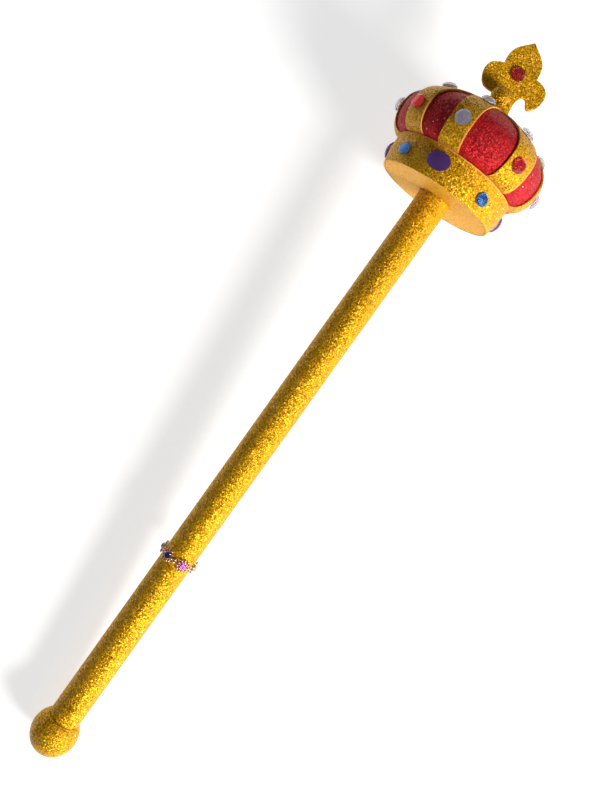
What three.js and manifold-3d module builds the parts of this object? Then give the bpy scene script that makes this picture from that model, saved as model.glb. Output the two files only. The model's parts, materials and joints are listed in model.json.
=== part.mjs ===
// A toy royal sceptre, lying on its side.
//
// Millimetres. The sceptre is first made upright about its own +Y axis: a piece's station is its
// height above the centre of the pommel, and its turn is the angle about the axis from +Z, the side
// that ends uppermost, towards +X. The whole is then laid down along +X until the crown's lowest
// stones are level with the flat spot on the pommel, and moved so that the origin is the middle of
// the underside of its box.
import * as THREE from 'three';
import { mergeVertices } from 'three/addons/utils/BufferGeometryUtils.js';
import Module from 'manifold-3d';

const GAP = 0.3;                  // clearance between pieces that touch
const SHEET = 1.3;                // thickness of the glittered sheet

// Rod and pommel
const SHAFT_R = 12.5;
const SHAFT_SIDES = 40;
const POMMEL_R = 18.4;
const POMMEL_SIDES = 24;
const POMMEL_RINGS = 11;
const POMMEL_FLAT_DEPTH = 0.45;   // how much is taken off the ball where it rests

// Flower band on the grip
const RING_STATION = 165.5;
const FLOWER_TURNS = [-93, -33, 27, 87, 147, 207];
const FLOWER_R = 4.3;             // circle through the centres of a flower's beads
const FLOWER_T = 1.3;
const BEADS = 8;
const BEAD_R = 1.05;
const WIRE_H = 1.8;               // the narrow hoop that carries the flowers
const WIRE_T = 0.7;
const HOOP_SIDES = 20;
const LINK_R = 1.1;
const LINK_TURN = 30;             // from a flower to the link after it

// Crown: flat underside, upright band, then a dome that is widest at its girth
const CROWN_FOOT = 485;
const BAND_H = 22.4;
const BAND_FOOT_R = 44.5;
const BAND_BULGE_R = 46.4;
const BAND_TOP_R = 46.9;
const DOME_FOOT_R = 46.2;
const GIRTH_R = 58;
const GIRTH_STATION = 525.2;
const GIRTH_RISE = 17.6;          // from the dome's foot to its girth
const DOME_H = 33.9;              // from the girth to the apex
const CROWN_SIDES = 48;           // facets round the crown
// With these three at 1 the dome's outline would be two quarters of an ellipse
const DOME_SKIRT_POWER = 0.85;
const DOME_HEIGHT_POWER = 0.81;
const DOME_RADIUS_POWER = 1.62;

// Arches: hand-cut strips of sheet from the band to the apex, with mitred inner ends. Each has the
// turn that it runs towards, and how far its two straight edges lie from the line through the
// axis, on the side of smaller turns and on that of larger ones.
const ARCHES = [
  [-93, 9.2, 8.2],
  [-54.8, 6, 11.9],
  [-15, 8.4, 8],
  [30.3, 5.4, 15.4],
  [74.5, 2.5, 15.5],
  [120, 9, 9],
  [158, 9, 9],
  [202, 9, 9],
  [234, 8.6, 8.6],
];
const ARCH_START = 0.07;          // share of the way from the dome's foot to its girth
const ARCH_TIP_R = 2.5;

// Stones: width along the circumference, height along the axis, and thickness
const STONE = {
  arch: [10.6, 10.6, 3.1],
  shoulder: [10.6, 10.6, 2.9],
  round: [9.6, 9.6, 2.7],
  oval: [17, 13, 2.9],
  fleur: [10, 10, 3.1],
  ring: [4.8, 4.8, 1.5],
};
// Where they are stuck, strip by strip. A place on the dome is 1 at the girth and 2 at the apex.
const GIRTH_STONE_PLACES = [1, 0.93, 1, 0.93, 0.9, 0.93, 1, 1, 1];
const GIRTH_STONE_TURNS = [-91, -52.3, -15, 33.7, 87, 120, 158, 202, 234];
const SHOULDER_PLACES = [1.42, 1.4, 1.45, 1.4, 1.34, 1.4, 1.42, 1.42, 1.42];
const SHOULDER_TURNS = [-97, -60, -13, 38, 81, 120, 158, 202, 234];
const BAND_STONE_TURNS = [-102, -50, -15, 34, 101, 126, 158, 202, 234];
const OVAL_STATION = 497;
const ROUND_STATION = 494.5;

// Finial
const BALL_R = 6.9;
const BALL_SIDE = -4.2;           // how far the ball sits to the left of the axis
const BALL_FRONT = 9.2;           // and in front of it
const BALL_STATION = 566;
const PLATE_T = 3;
const PLATE_TURN = 5;
const PLATE_LEAN = 8.7;
const PLATE_SIDE = 2.0;
const STEM_W = 11.8;
const FLEUR_STONE = [-0.9, 28.4];  // its centre on the plate, from the foot of the stem

const deg = THREE.MathUtils.degToRad;
const wasm = await Module();
wasm.setup();

const finish = (color, roughness, metalness = 0) =>
  () => new THREE.MeshStandardMaterial({ color, roughness, metalness });
const goldGlitter = finish(0xd9a017, 0.45, 0.3);
const redGlitter = finish(0xb01226, 0.5, 0.1);
const roseGold = finish(0xe0a078, 0.3, 0.9);
const stone = color => finish(color, 0.08);
const LAVENDER = 0xb49ad6;
const RED = 0xd81a24;
const BLUE = 0x1c4fa8;
const PURPLE = 0x4a1b86;
const CLEAR = 0xdfe6ea;
const NAVY = 0x1b1f4a;
const VIOLET = 0x7c2f96;
const CHAMPAGNE = 0xe6d2a0;
const RING_COLORS = [NAVY, NAVY, VIOLET, CHAMPAGNE, RED, BLUE];

function asSolid(geometry) {
  const bare = geometry.clone();
  bare.deleteAttribute('normal');
  bare.deleteAttribute('uv');
  const merged = mergeVertices(bare, 1e-4);
  const corners = merged.index.array;
  const triangles = [];
  for (let i = 0; i < corners.length; i += 3) {
    const [a, b, c] = corners.slice(i, i + 3);
    if (a !== b && b !== c && c !== a) triangles.push(a, b, c);
  }
  return new wasm.Manifold(new wasm.Mesh({
    numProp: 3,
    vertProperties: merged.attributes.position.array,
    triVerts: new Uint32Array(triangles),
  }));
}

function asGeometry(solid) {
  const mesh = solid.getMesh();
  const geometry = new THREE.BufferGeometry();
  geometry.setAttribute('position', new THREE.BufferAttribute(mesh.vertProperties, 3));
  geometry.setIndex(new THREE.BufferAttribute(mesh.triVerts, 1));
  geometry.computeVertexNormals();
  return geometry;
}

function revolve(profile, segments) {
  return new THREE.LatheGeometry(profile.map(([r, y]) => new THREE.Vector2(r, y)), segments);
}

function piece(name, geometry, material) {
  const mesh = new THREE.Mesh(geometry, material());
  mesh.name = name;
  return mesh;
}

// A holder turned about the sceptre's axis: what is put in it faces the given turn.
function turned(degrees, ...children) {
  const holder = new THREE.Group();
  holder.rotation.y = deg(degrees);
  holder.add(...children);
  return holder;
}

// Radius and station of the dome's outside. u runs from 0 at the foot over 1 at the girth to 2 at
// the apex.
function domeCurve(u) {
  const angle = (u <= 1 ? u : Math.min(u - 1, 1)) * Math.PI / 2;
  const [s, c] = [Math.sin(angle), Math.max(Math.cos(angle), 0)];
  if (u <= 1) {
    const swell = (GIRTH_R - DOME_FOOT_R) * s ** DOME_SKIRT_POWER;
    return [DOME_FOOT_R + swell, GIRTH_STATION - GIRTH_RISE * c];
  }
  return [GIRTH_R * c ** DOME_RADIUS_POWER, GIRTH_STATION + DOME_H * s ** DOME_HEIGHT_POWER];
}

// The way out of the dome: level up to the girth, square to the surface above it.
function domeOutward(u) {
  if (u <= 1) return [1, 0];
  if (u >= 2) return [0, 1];
  const step = 1e-4;
  const [near, far] = [domeCurve(u), domeCurve(u + step)];
  const [dr, dy] = [far[0] - near[0], far[1] - near[1]];
  const length = Math.hypot(dr, dy);
  return [dy / length, -dr / length];
}

function domePoint(u, inset = 0) {
  const [r, y] = domeCurve(u);
  const [outR, outY] = domeOutward(u);
  return [Math.max(r - inset * outR, 0), y - inset * outY];
}

// The dome's outline from the feet of the arches to the apex, moved in by the inset.
function domeProfile(inset) {
  const lower = [0, 1 / 3, 2 / 3].map(share => ARCH_START + (1 - ARCH_START) * share);
  const upper = Array.from({ length: 9 }, (_, i) => 1 + i / 8);
  return [...lower, ...upper].map(u => domePoint(u, inset));
}

// A flat-backed faceted stone on the XZ plane: straight girdle, sloping crown, flat table.
function stoneGeometry([width, height, thickness], sides = 10) {
  const profile = [[0, 0], [1, 0], [1, 0.25], [0.6, 1], [0, 1]];
  const geometry = revolve(profile, sides);
  geometry.scale(width / 2, thickness, height / 2);
  return geometry;
}

// A stone stuck on a surface of revolution, at a radius and a station, square to the given normal.
function setStone(name, size, color, turn, [radius, station], [nr, ny], sides) {
  const mesh = piece(name, stoneGeometry(size, sides), stone(color));
  mesh.position.set(0, station + GAP * ny, radius + GAP * nr);
  mesh.rotation.x = Math.PI / 2 - Math.atan2(ny, nr);
  return turned(turn, mesh);
}

// The rod, from the pommel up through the crown's underside to the cap.
function shaft() {
  const foot = Math.sqrt(POMMEL_R ** 2 - (SHAFT_R + GAP) ** 2) + GAP;
  const top = CROWN_FOOT + SHEET;
  const profile = [[0, foot], [SHAFT_R, foot], [SHAFT_R, top], [0, top]];
  return piece('shaft', revolve(profile, SHAFT_SIDES), goldGlitter);
}

// The pommel: a ball with a flat seat for the rod, and a small flat where it rests once laid down.
function pommel(tilt) {
  const seatR = SHAFT_R + GAP;
  const end = Math.PI - Math.asin(seatR / POMMEL_R);
  const profile = Array.from({ length: POMMEL_RINGS + 1 }, (_, i) => {
    const a = end * i / POMMEL_RINGS;
    return [POMMEL_R * Math.sin(a), -POMMEL_R * Math.cos(a)];
  });
  profile.push([0, profile.at(-1)[1]]);
  const flatBlock = new THREE.BoxGeometry(POMMEL_R, POMMEL_R, POMMEL_R);
  flatBlock.translate(0, 0, -(POMMEL_R - POMMEL_FLAT_DEPTH + POMMEL_R / 2));
  flatBlock.rotateX(-tilt);
  const ball = asSolid(revolve(profile, POMMEL_SIDES)).subtract(asSolid(flatBlock));
  return piece('pommel', asGeometry(ball), goldGlitter);
}

// A flower seen from the front: a ring of round beads, each bulging out between its neighbours.
function flowerOutline() {
  const outline = new THREE.Shape();
  const bulge = deg(100);
  for (let i = 0; i < BEADS; i++) {
    const a = 2 * Math.PI * i / BEADS;
    outline.absarc(FLOWER_R * Math.cos(a), FLOWER_R * Math.sin(a), BEAD_R, a - bulge, a + bulge);
  }
  return outline;
}

// The flower band: a narrow hoop that carries the flat flowers, with a small link between each two.
function flowerRing() {
  const inner = SHAFT_R + GAP;
  const outer = inner + WIRE_T;
  const hoop = [[inner, -WIRE_H / 2], [outer, -WIRE_H / 2], [outer, WIRE_H / 2], [inner, WIRE_H / 2]];
  let setting = asSolid(revolve([...hoop, hoop[0]], HOOP_SIDES));
  const flower = new THREE.ExtrudeGeometry(flowerOutline(),
    { depth: FLOWER_T, bevelEnabled: false, curveSegments: 2 });
  flower.translate(0, 0, inner);
  const link = new THREE.IcosahedronGeometry(LINK_R, 0).translate(0, 0, outer);
  for (const turn of FLOWER_TURNS) {
    setting = setting.add(asSolid(flower.clone().rotateY(deg(turn))));
    setting = setting.add(asSolid(link.clone().rotateY(deg(turn + LINK_TURN))));
  }
  const ring = piece('ring_setting', asGeometry(setting), roseGold);
  ring.position.y = RING_STATION;
  const group = new THREE.Group();
  group.add(ring);
  FLOWER_TURNS.forEach((turn, i) => {
    const seat = [inner + FLOWER_T, RING_STATION];
    group.add(setStone(`ring_gem_${i + 1}`, STONE.ring, RING_COLORS[i], turn, seat, [1, 0], 8));
  });
  return group;
}

// The crown's flat underside: a disc of sheet with a hole for the rod.
function crownUnderside() {
  const [hole, r] = [SHAFT_R + GAP, BAND_FOOT_R - SHEET - GAP];
  const top = CROWN_FOOT + SHEET;
  const profile = [[hole, CROWN_FOOT], [r, CROWN_FOOT], [r, top], [hole, top]];
  return piece('crown_underside', revolve([...profile, profile[0]], CROWN_SIDES), goldGlitter);
}

// The band: a strip of sheet bent into a hoop that swells a little towards its top.
function crownBand() {
  const outside = [[BAND_FOOT_R, 0], [BAND_BULGE_R, 0.45], [BAND_TOP_R, 1]];
  const station = share => CROWN_FOOT + share * BAND_H;
  const profile = outside.map(([r, share]) => [r, station(share)]);
  const inside = outside.map(([r, share]) => [r - SHEET, station(share)]).reverse();
  return piece('crown_band', revolve([...profile, ...inside, profile[0]], CROWN_SIDES), goldGlitter);
}

// The cap: the red dome, with a plain drum below it that fills the band.
function crownCap() {
  const drumR = BAND_FOOT_R - SHEET - GAP;
  const drumFoot = CROWN_FOOT + SHEET + GAP;
  const dome = domeProfile(SHEET + GAP);
  const profile = [[0, drumFoot], [drumR, drumFoot], [drumR, dome[0][1]], ...dome];
  return piece('crown_cap', revolve(profile, CROWN_SIDES), redGlitter);
}

// One arch: the part of a thin dome shell that lies over a straight strip. Towards each neighbour
// it is mitred along the line from the axis to where the edges of the two strips meet.
function arch(index, shell) {
  const [turn, left, right] = ARCHES[index];
  const [turnBefore, , rightBefore] = ARCHES.at(index - 1);
  const [turnAfter, leftAfter] = ARCHES[(index + 1) % ARCHES.length];
  const mitre = (edge, edgeOfNeighbour, apart) =>
    Math.atan2(edge * Math.sin(apart), edge * Math.cos(apart) + edgeOfNeighbour);
  const before = mitre(left, rightBefore, deg((turn - turnBefore + 360) % 360));
  const after = mitre(right, leftAfter, deg((turnAfter - turn + 360) % 360));
  const cut = GAP / 2;
  const tip = cut / Math.sin(Math.min(before, after)) + ARCH_TIP_R;
  const tipHalf = angle => tip * Math.tan(angle) - cut / Math.cos(angle);
  const corner = (edge, angle) => edge / Math.tan(angle) + cut / Math.sin(angle);
  const far = 2 * GIRTH_R;
  const plan = new THREE.Shape([
    new THREE.Vector2(tipHalf(after), tip),
    new THREE.Vector2(right, corner(right, after)),
    new THREE.Vector2(right, far),
    new THREE.Vector2(-left, far),
    new THREE.Vector2(-left, corner(left, before)),
    new THREE.Vector2(-tipHalf(before), tip),
  ]);
  const column = new THREE.ExtrudeGeometry(plan, { depth: far, bevelEnabled: false });
  column.rotateX(Math.PI / 2).translate(0, CROWN_FOOT + far, 0);
  column.rotateY(deg(turn));
  return piece(`arch_${index + 1}`, asGeometry(shell.intersect(asSolid(column))), goldGlitter);
}

function arches() {
  const outside = domeProfile(0);
  const inside = domeProfile(SHEET).reverse();
  const shell = asSolid(revolve([...outside, ...inside, outside[0]], CROWN_SIDES));
  return ARCHES.map((_, i) => arch(i, shell));
}

// Every arch carries a coloured stone at the girth and a clear one on the shoulder, and the band
// carries a stone below it: round and blue under a red stone, oval and purple under a lavender one.
function crownStones() {
  const group = new THREE.Group();
  const bandR = THREE.MathUtils.lerp(BAND_BULGE_R, BAND_TOP_R, 0.1);
  for (let i = 0; i < ARCHES.length; i++) {
    const isRed = i % 2 === 1;
    const n = i + 1;
    const station = isRed ? ROUND_STATION : OVAL_STATION;
    group.add(setStone(`arch_gem_${n}`, STONE.arch, isRed ? RED : LAVENDER, GIRTH_STONE_TURNS[i],
      domePoint(GIRTH_STONE_PLACES[i]), [1, 0]));
    group.add(setStone(`shoulder_gem_${n}`, STONE.shoulder, CLEAR, SHOULDER_TURNS[i],
      domePoint(SHOULDER_PLACES[i]), domeOutward(SHOULDER_PLACES[i])));
    group.add(setStone(`band_gem_${n}`, isRed ? STONE.round : STONE.oval, isRed ? BLUE : PURPLE,
      BAND_STONE_TURNS[i], [bandR, station], [1, 0]));
  }
  return group;
}

function finialBall() {
  const ball = piece('finial_ball', new THREE.SphereGeometry(BALL_R, 14, 9), goldGlitter);
  ball.position.set(BALL_SIDE, BALL_STATION, BALL_FRONT);
  return ball;
}

// One half of the fleur-de-lis, from the foot of the stem up to the tip: the hook under the side
// lobe, the lobe, the notch and the pointed top lobe. side is 1 or -1, hook is how far from the
// middle line the lobe's curl comes back towards the stem, curl is the curl's lowest height, and
// gapTop is the height of the gap between curl and stem.
function fleurHalf(side, hook, curl, gapTop) {
  const path = new THREE.CurvePath();
  const at = (x, y) => new THREE.Vector2(side * x, y);
  const stem = STEM_W / 2;
  const gap = (stem + hook) / 2;
  const foot = at(stem, -side * stem * Math.tan(deg(PLATE_LEAN)));
  const knots = [
    [foot, at(stem, 3), at(stem, 6), at(stem, 8.6)],
    [at(stem, 8.6), at(stem + 0.6, 13), at(gap - 1.8, gapTop), at(gap, gapTop)],
    [at(gap, gapTop), at(gap + 2.4, gapTop), at(hook - 2.2, curl + 3.6), at(hook - 0.8, curl + 1.5)],
    [at(hook - 0.8, curl + 1.5), at(hook + 0.4, curl), at(hook + 2.2, curl), at(18.8, curl + 1.5)],
    [at(18.8, curl + 1.5), at(22.4, curl + 3.6), at(24.1, 17.6), at(24.1, 22.1)],
    [at(24.1, 22.1), at(24.1, 28), at(19.4, 31), at(13.2, 31.7)],
    [at(13.2, 31.7), at(13.8, 38.5), at(12.4, 42.9), at(9.1, 45.9)],
    [at(9.1, 45.9), at(6.4, 48.3), at(2.8, 50.6), at(0.4, 52.9)],
  ];
  for (const knot of knots) path.add(new THREE.CubicBezierCurve(...knot));
  return path.curves.flatMap(curve => curve.getPoints(5).slice(1));
}

function fleurPlate() {
  const right = fleurHalf(1, 15.4, 9.7, 16.1);
  const left = fleurHalf(-1, 11, 9.8, 14.8);
  const slope = Math.tan(deg(PLATE_LEAN));
  const foot = [1, -1].map(side => new THREE.Vector2(side * STEM_W / 2, -side * STEM_W / 2 * slope));
  const outline = new THREE.Shape([foot[0], ...right, ...left.reverse(), foot[1]]);
  const geometry = new THREE.ExtrudeGeometry(outline, { depth: PLATE_T, bevelEnabled: false });
  const plate = piece('fleur_de_lis', geometry, goldGlitter);
  plate.position.z = -PLATE_T / 2;
  const gem = piece('fleur_gem', stoneGeometry(STONE.fleur), stone(RED));
  gem.position.set(...FLEUR_STONE, PLATE_T / 2 + GAP);
  gem.rotation.x = Math.PI / 2;
  const leaning = new THREE.Group();
  leaning.position.set(PLATE_SIDE, GIRTH_STATION + DOME_H + GAP, 0);
  leaning.rotation.z = deg(PLATE_LEAN);
  leaning.add(plate, gem);
  return turned(PLATE_TURN, leaning);
}

function cornersOf(object) {
  const points = [];
  object.updateMatrixWorld(true);
  object.traverse(mesh => {
    if (!mesh.isMesh) return;
    const position = mesh.geometry.attributes.position;
    for (let i = 0; i < position.count; i++) {
      points.push(new THREE.Vector3().fromBufferAttribute(position, i).applyMatrix4(mesh.matrixWorld));
    }
  });
  return points;
}

// The tilt at which the crown's lowest point is level with the flat on the pommel.
function restTilt(points) {
  const depth = POMMEL_R - POMMEL_FLAT_DEPTH;
  let [low, high] = [0, deg(15)];
  for (let i = 0; i < 40; i++) {
    const tilt = (low + high) / 2;
    const [s, c] = [Math.sin(tilt), Math.cos(tilt)];
    const lowest = points.reduce((least, p) => Math.min(least, p.y * s + p.z * c), Infinity);
    if (lowest < -depth) low = tilt;
    else high = tilt;
  }
  return high;
}

const upright = new THREE.Group();
const crown = new THREE.Group();
crown.add(crownUnderside(), crownBand(), crownCap(), ...arches(), crownStones());
crown.add(finialBall(), fleurPlate());
const tilt = restTilt(cornersOf(crown));
upright.add(shaft(), pommel(tilt), flowerRing(), crown);
upright.rotation.set(0, -tilt, -Math.PI / 2);

const sceptre = new THREE.Group();
sceptre.add(upright);
const box = new THREE.Box3().setFromPoints(cornersOf(sceptre));
const centre = box.getCenter(new THREE.Vector3());
upright.position.set(-centre.x, -centre.y, -box.min.z);
export default sceptre;
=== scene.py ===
"""A toy royal sceptre in glittered foam sheet, lying on a pale floor.

A place on the sceptre is given as a maker would mark it: the station is the distance along the rod
from the middle of the pommel, the turn is the angle about the rod from its upper side, growing
towards -Y, and the radius is the distance from the rod's middle line.
"""
import json
import math
import bpy
import numpy as np
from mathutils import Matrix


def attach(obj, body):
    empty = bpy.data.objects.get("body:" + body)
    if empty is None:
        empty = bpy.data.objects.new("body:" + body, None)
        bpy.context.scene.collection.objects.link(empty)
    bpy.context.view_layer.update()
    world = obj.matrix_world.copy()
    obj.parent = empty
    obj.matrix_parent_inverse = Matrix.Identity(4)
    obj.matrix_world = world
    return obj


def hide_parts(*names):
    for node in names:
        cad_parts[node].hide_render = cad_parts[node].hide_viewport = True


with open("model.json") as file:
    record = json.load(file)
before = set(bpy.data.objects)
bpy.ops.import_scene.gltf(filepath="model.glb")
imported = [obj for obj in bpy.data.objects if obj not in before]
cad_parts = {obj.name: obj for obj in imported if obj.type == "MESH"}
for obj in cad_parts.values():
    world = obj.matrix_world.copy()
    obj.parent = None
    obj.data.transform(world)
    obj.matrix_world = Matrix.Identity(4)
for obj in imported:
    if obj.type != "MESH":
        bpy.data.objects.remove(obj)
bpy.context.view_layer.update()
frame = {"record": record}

bl_info = {
    "name": "Toy Sceptre",
    "version": (1, 0, 0),
    "blender": (4, 5, 0),
    "location": "View3D > Sidebar > Sceptre",
    "description": "Makes a glittered toy sceptre with a jewelled crown",
    "category": "Add Mesh",
}

MM = 0.001
SEED = 7
GAP = 0.3 * MM                   # left between one piece and the next

# Glitter, as it stands on a surface
GRAIN = 0.78 * MM                # from one grain to the next
GRAIN_DEPTH = 0.12 * MM
STRAY = 0.3                      # how far a point moves along the surface, as a share of GRAIN

# Rod and pommel
ROD_R = 12.5 * MM
ROD_TOP = 487.0 * MM
POMMEL_R = 18.4 * MM
POMMEL_FLAT = 0.45 * MM          # what the ball loses where it rests
DENT, DENT_RUN = 0.1 * MM, 30 * MM   # depth and length of the rod's slow unevenness

# Flower band
RING_STATION = 165.5 * MM
RING_TURNS = (-93, -33, 27, 87, 147, 207)
RING_INNER = ROD_R + GAP
RING_COLOURS = ("navy", "navy", "violet", "champagne", "red", "blue")
RING_OUTLINE = ((0.0, -0.9), (0.7, -0.75), (0.7, 0.75), (0.0, 0.9))    # out and along, mm
FLOWER_T = 1.3 * MM
FLOWER_STEPS = 24
BACKING = ((1.6, 0.1), (3.3, 0.1), (3.3, 0.6), (1.6, 0.6))             # radius and height, mm
CUP = ((2.35, 0.5), (2.85, 0.5), (2.75, 1.45), (2.5, 1.45))            # radius and height, mm
BEAD_COUNT = 11
BEAD_R = 0.92 * MM
BEAD_CIRCLE = 4.4 * MM
BEAD_HEIGHT = 0.82 * MM
CLAW_COUNT = 4
CLAW_R, CLAW_CIRCLE, CLAW_HEIGHT = 0.42 * MM, 2.45 * MM, 1.6 * MM
LINK_R, LINK_HEIGHT, LINK_SIDE = 0.95 * MM, 0.75 * MM, 1.0 * MM
LINK_TURN = 30                   # from a flower to the beads that join it to the next

# Crown
SHEET = 1.3 * MM
CROWN_FOOT = 485.0 * MM
BAND_H = 22.4 * MM
BAND_SHARES = (0.0, 0.45, 1.0)
BAND_RADII = (44.5 * MM, 46.4 * MM, 46.9 * MM)
DOME_FOOT_R = 46.2 * MM
GIRTH_R = 58.0 * MM
GIRTH_STATION = 525.2 * MM
GIRTH_RISE = 17.6 * MM
DOME_H = 33.9 * MM
DOME_SKIRT_POWER = 0.85
DOME_HEIGHT_POWER = 0.81
DOME_RADIUS_POWER = 1.62
ARRIS = 0.15 * MM                # rounding where the sheet's face meets its cut edge
BAND_WANDER = 0.16 * MM          # how far the band's cut edges stray
SEAM_TURN, SEAM_HALF_WIDTH, SEAM_DEPTH = 178, 0.45, 0.7 * MM    # degrees, degrees, depth
CAP_END = 1.985                  # the top of the red dome's mesh, where 2 is the apex
CAP_GRAIN, CAP_DEPTH = 0.9, 0.8  # the dome's grain and its depth, as shares of the gold's

# Strips: the turn that each runs towards, and how far its edges lie from the line through the
# rod's middle, in millimetres, on the side of smaller turns and on that of larger ones
STRIPS = ((-93, 9.2, 8.2), (-54.8, 6, 11.9), (-15, 8.4, 8), (30.3, 5.4, 15.4), (74.5, 2.5, 15.5),
          (120, 9, 9), (158, 9, 9), (202, 9, 9), (234, 8.6, 8.6))
STRIP_START = 0.07               # place on the dome, see below, of the strips' feet
STRIP_TIP_R = 3.0 * MM           # how far a strip ends short of the point of its mitre
STRIP_WANDER = 0.18 * MM         # how far a strip's cut edges stray inwards
STRIP_WAVES = 9

# Where stones are stuck: the place on the dome, 0 at its foot, 1 at the girth and 2 at the apex,
# and the turn; on the band the turn alone
GIRTH_STONES = ((1, -91), (0.93, -52.3), (1, -15), (0.93, 33.7), (0.9, 87), (0.93, 120),
                (1, 158), (1, 202), (1, 234))
SHOULDER_STONES = ((1.42, -97), (1.4, -60), (1.45, -13), (1.4, 38), (1.34, 81), (1.4, 120),
                   (1.42, 158), (1.42, 202), (1.42, 234))
BAND_STONE_TURNS = (-102, -50, -15, 34, 101, 126, 158, 202, 234)
OVAL_STATION = 497.0 * MM
ROUND_STATION = 494.5 * MM

# Stones: width round the crown, height along it, thickness
STONES = {
    "strip": (10.6 * MM, 10.6 * MM, 3.1 * MM),
    "shoulder": (10.6 * MM, 10.6 * MM, 2.9 * MM),
    "round": (9.6 * MM, 9.6 * MM, 2.7 * MM),
    "oval": (17.0 * MM, 13.0 * MM, 2.9 * MM),
    "fleur": (10.0 * MM, 10.0 * MM, 3.1 * MM),
    "ring": (4.8 * MM, 4.8 * MM, 1.5 * MM),
}

# Finial
FINIAL_R = 6.9 * MM
FINIAL_SIDE = -4.2 * MM
FINIAL_FRONT = 9.2 * MM
FINIAL_STATION = 566.0 * MM
PLATE_T = 3.0 * MM
PLATE_TURN = 5
PLATE_LEAN = 8.7
PLATE_SIDE = 2.0 * MM
PLATE_FOOT = GIRTH_STATION + DOME_H + GAP
STEM_W = 11.8 * MM
PLATE_EDGE = ((-0.5, 0.28), (-0.41, 0.08), (-0.2, 0.0), (0.2, 0.0), (0.41, 0.08), (0.5, 0.28))
#            height as a share of the thickness, and how far the outline is drawn in, mm
PLATE_RAGGED = 0.1               # how far the cut edge strays inwards, mm
CURVE_STEPS = 14
FINIAL_DEPTH = 1.6               # depth of the ball's grain, as a share of the gold's
FLEUR_STONE = (-0.9 * MM, 28.4 * MM)

# Stage
FLOOR_REACH = 3.0
LAMP_PLACE, LAMP_TARGET = (-0.55, -2.1, 1.3), (0.05, 0, 0.05)
LAMP_SIZE, LAMP_POWER, LAMP_COLOUR = (0.9, 0.6), 98, (1.0, 0.98, 0.95)
ROOM_COLOUR, ROOM_STRENGTH = (0.8, 0.84, 0.9, 1), 0.15
SENSOR_H, LENS = 24, 24.637      # mm
NEAREST = 0.01                   # the closest that the camera sees
EYE_ALONG, EYE_SIDE, EYE_HEIGHT = 0.3156, -0.0026, 0.6293       # EYE_ALONG is from the pommel
EYE_TURN = 35.535 - 90           # degrees, about the upright line

MOUNTS = {mount["name"]: mount for mount in frame["record"]["mounts"]}
# The way up the rod, the level way square to it, and the way square to both
ALONG = -np.array(MOUNTS["crown_underside"]["axis"])
SIDE = np.array([0.0, -1.0, 0.0])
UP = np.cross(SIDE, ALONG)
POMMEL_CENTRE = np.array(MOUNTS["rest_flat"]["pos_m"]) + [0, 0, POMMEL_R - POMMEL_FLAT]


# ------------------------------------------------------------------ shapes

def place(side, station, up):
    """Points a distance to the side, along and above the pommel's centre."""
    side, station, up = np.broadcast_arrays(side, station, up)
    return (POMMEL_CENTRE + side[..., None] * SIDE + station[..., None] * ALONG
            + up[..., None] * UP)


def around(radius, turn, station):
    """Points on circles about the rod: sine of the turn to the side, cosine of it up."""
    angle = np.radians(turn)
    return place(radius * np.sin(angle), station, radius * np.cos(angle))


def smooth_noise(rng, *axes):
    """A slow wander of about -1 to 1: the mean of five sine waves along the given axes."""
    total = 0.0
    for _ in range(5):
        phase = rng.uniform(0, 2 * np.pi)
        total = total + np.sin(sum(rng.uniform(-1, 1) * axis for axis in axes) + phase)
    return total / 2.5


def quads(rows, columns, round_rows=False, round_columns=True):
    """Corner numbers of a grid's faces. Either direction may close on itself."""
    r = np.arange(rows if round_rows else rows - 1)[:, None]
    c = np.arange(columns if round_columns else columns - 1)[None, :]
    r2, c2 = (r + 1) % rows, (c + 1) % columns
    corners = (r * columns + c, r * columns + c2, r2 * columns + c2, r2 * columns + c)
    return np.stack(corners, axis=-1).reshape(-1, 4)


def tube(points, marks=0):
    """A grid of closed rings, one for each row, with a flat end on the first and on the last.
    The ends take the highest mark."""
    rows, columns = points.shape[:2]
    faces = quads(rows, columns).tolist()
    first = list(range(columns))[::-1]
    last = list(range((rows - 1) * columns, rows * columns))
    side_marks = np.broadcast_to(marks, (rows - 1, columns)).ravel().tolist()
    return (points.reshape(-1, 3), faces + [first, last],
            side_marks + [int(np.max(marks))] * 2)


def hoop(points, marks=0):
    """A grid that closes in both directions: a ring of closed outlines."""
    rows, columns = points.shape[:2]
    return (points.reshape(-1, 3), quads(rows, columns, round_rows=True).tolist(),
            np.broadcast_to(marks, (rows, columns)).ravel().tolist())


def unit_ball(cells):
    """A ball of radius 1 with no poles: the six sides of a cube, each a square grid whose lines
    are the tangents of even angles, pushed out to the sphere. Shared edge points are merged."""
    t = np.tan(np.linspace(-np.pi / 4, np.pi / 4, cells + 1))
    a, b = np.meshgrid(t, t, indexing="ij")
    one = np.ones_like(a)
    sides = [(one, a, b), (-one, b, a), (b, one, a), (a, -one, b), (a, b, one), (b, a, -one)]
    points = np.concatenate([np.stack(side, axis=-1).reshape(-1, 3) for side in sides])
    points /= np.linalg.norm(points, axis=1)[:, None]
    _, first, number = np.unique(points.round(6), axis=0, return_index=True, return_inverse=True)
    grid = quads(cells + 1, cells + 1, round_columns=False)
    faces = np.concatenate([grid + k * (cells + 1) ** 2 for k in range(6)])
    return points[first], number.ravel()[faces]


def joined(parts):
    """Several (points, faces, marks) shapes as one."""
    points, faces, marks, start = [], [], [], 0
    for p, f, m in parts:
        points.append(p)
        faces += [[start + corner for corner in face] for face in f]
        marks += list(m)
        start += len(p)
    return np.concatenate(points), faces, marks


def facing(turn, normal=(1.0, 0.0)):
    """Three directions of something stuck on the sceptre: round it, along it, and outwards.
    The normal's two numbers are its shares outwards from the rod and along it."""
    angle = math.radians(turn)
    out = math.cos(angle) * UP + math.sin(angle) * SIDE
    across = -math.sin(angle) * UP + math.cos(angle) * SIDE
    nr, ns = normal
    return across, nr * ALONG - ns * out, nr * out + ns * ALONG


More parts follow.
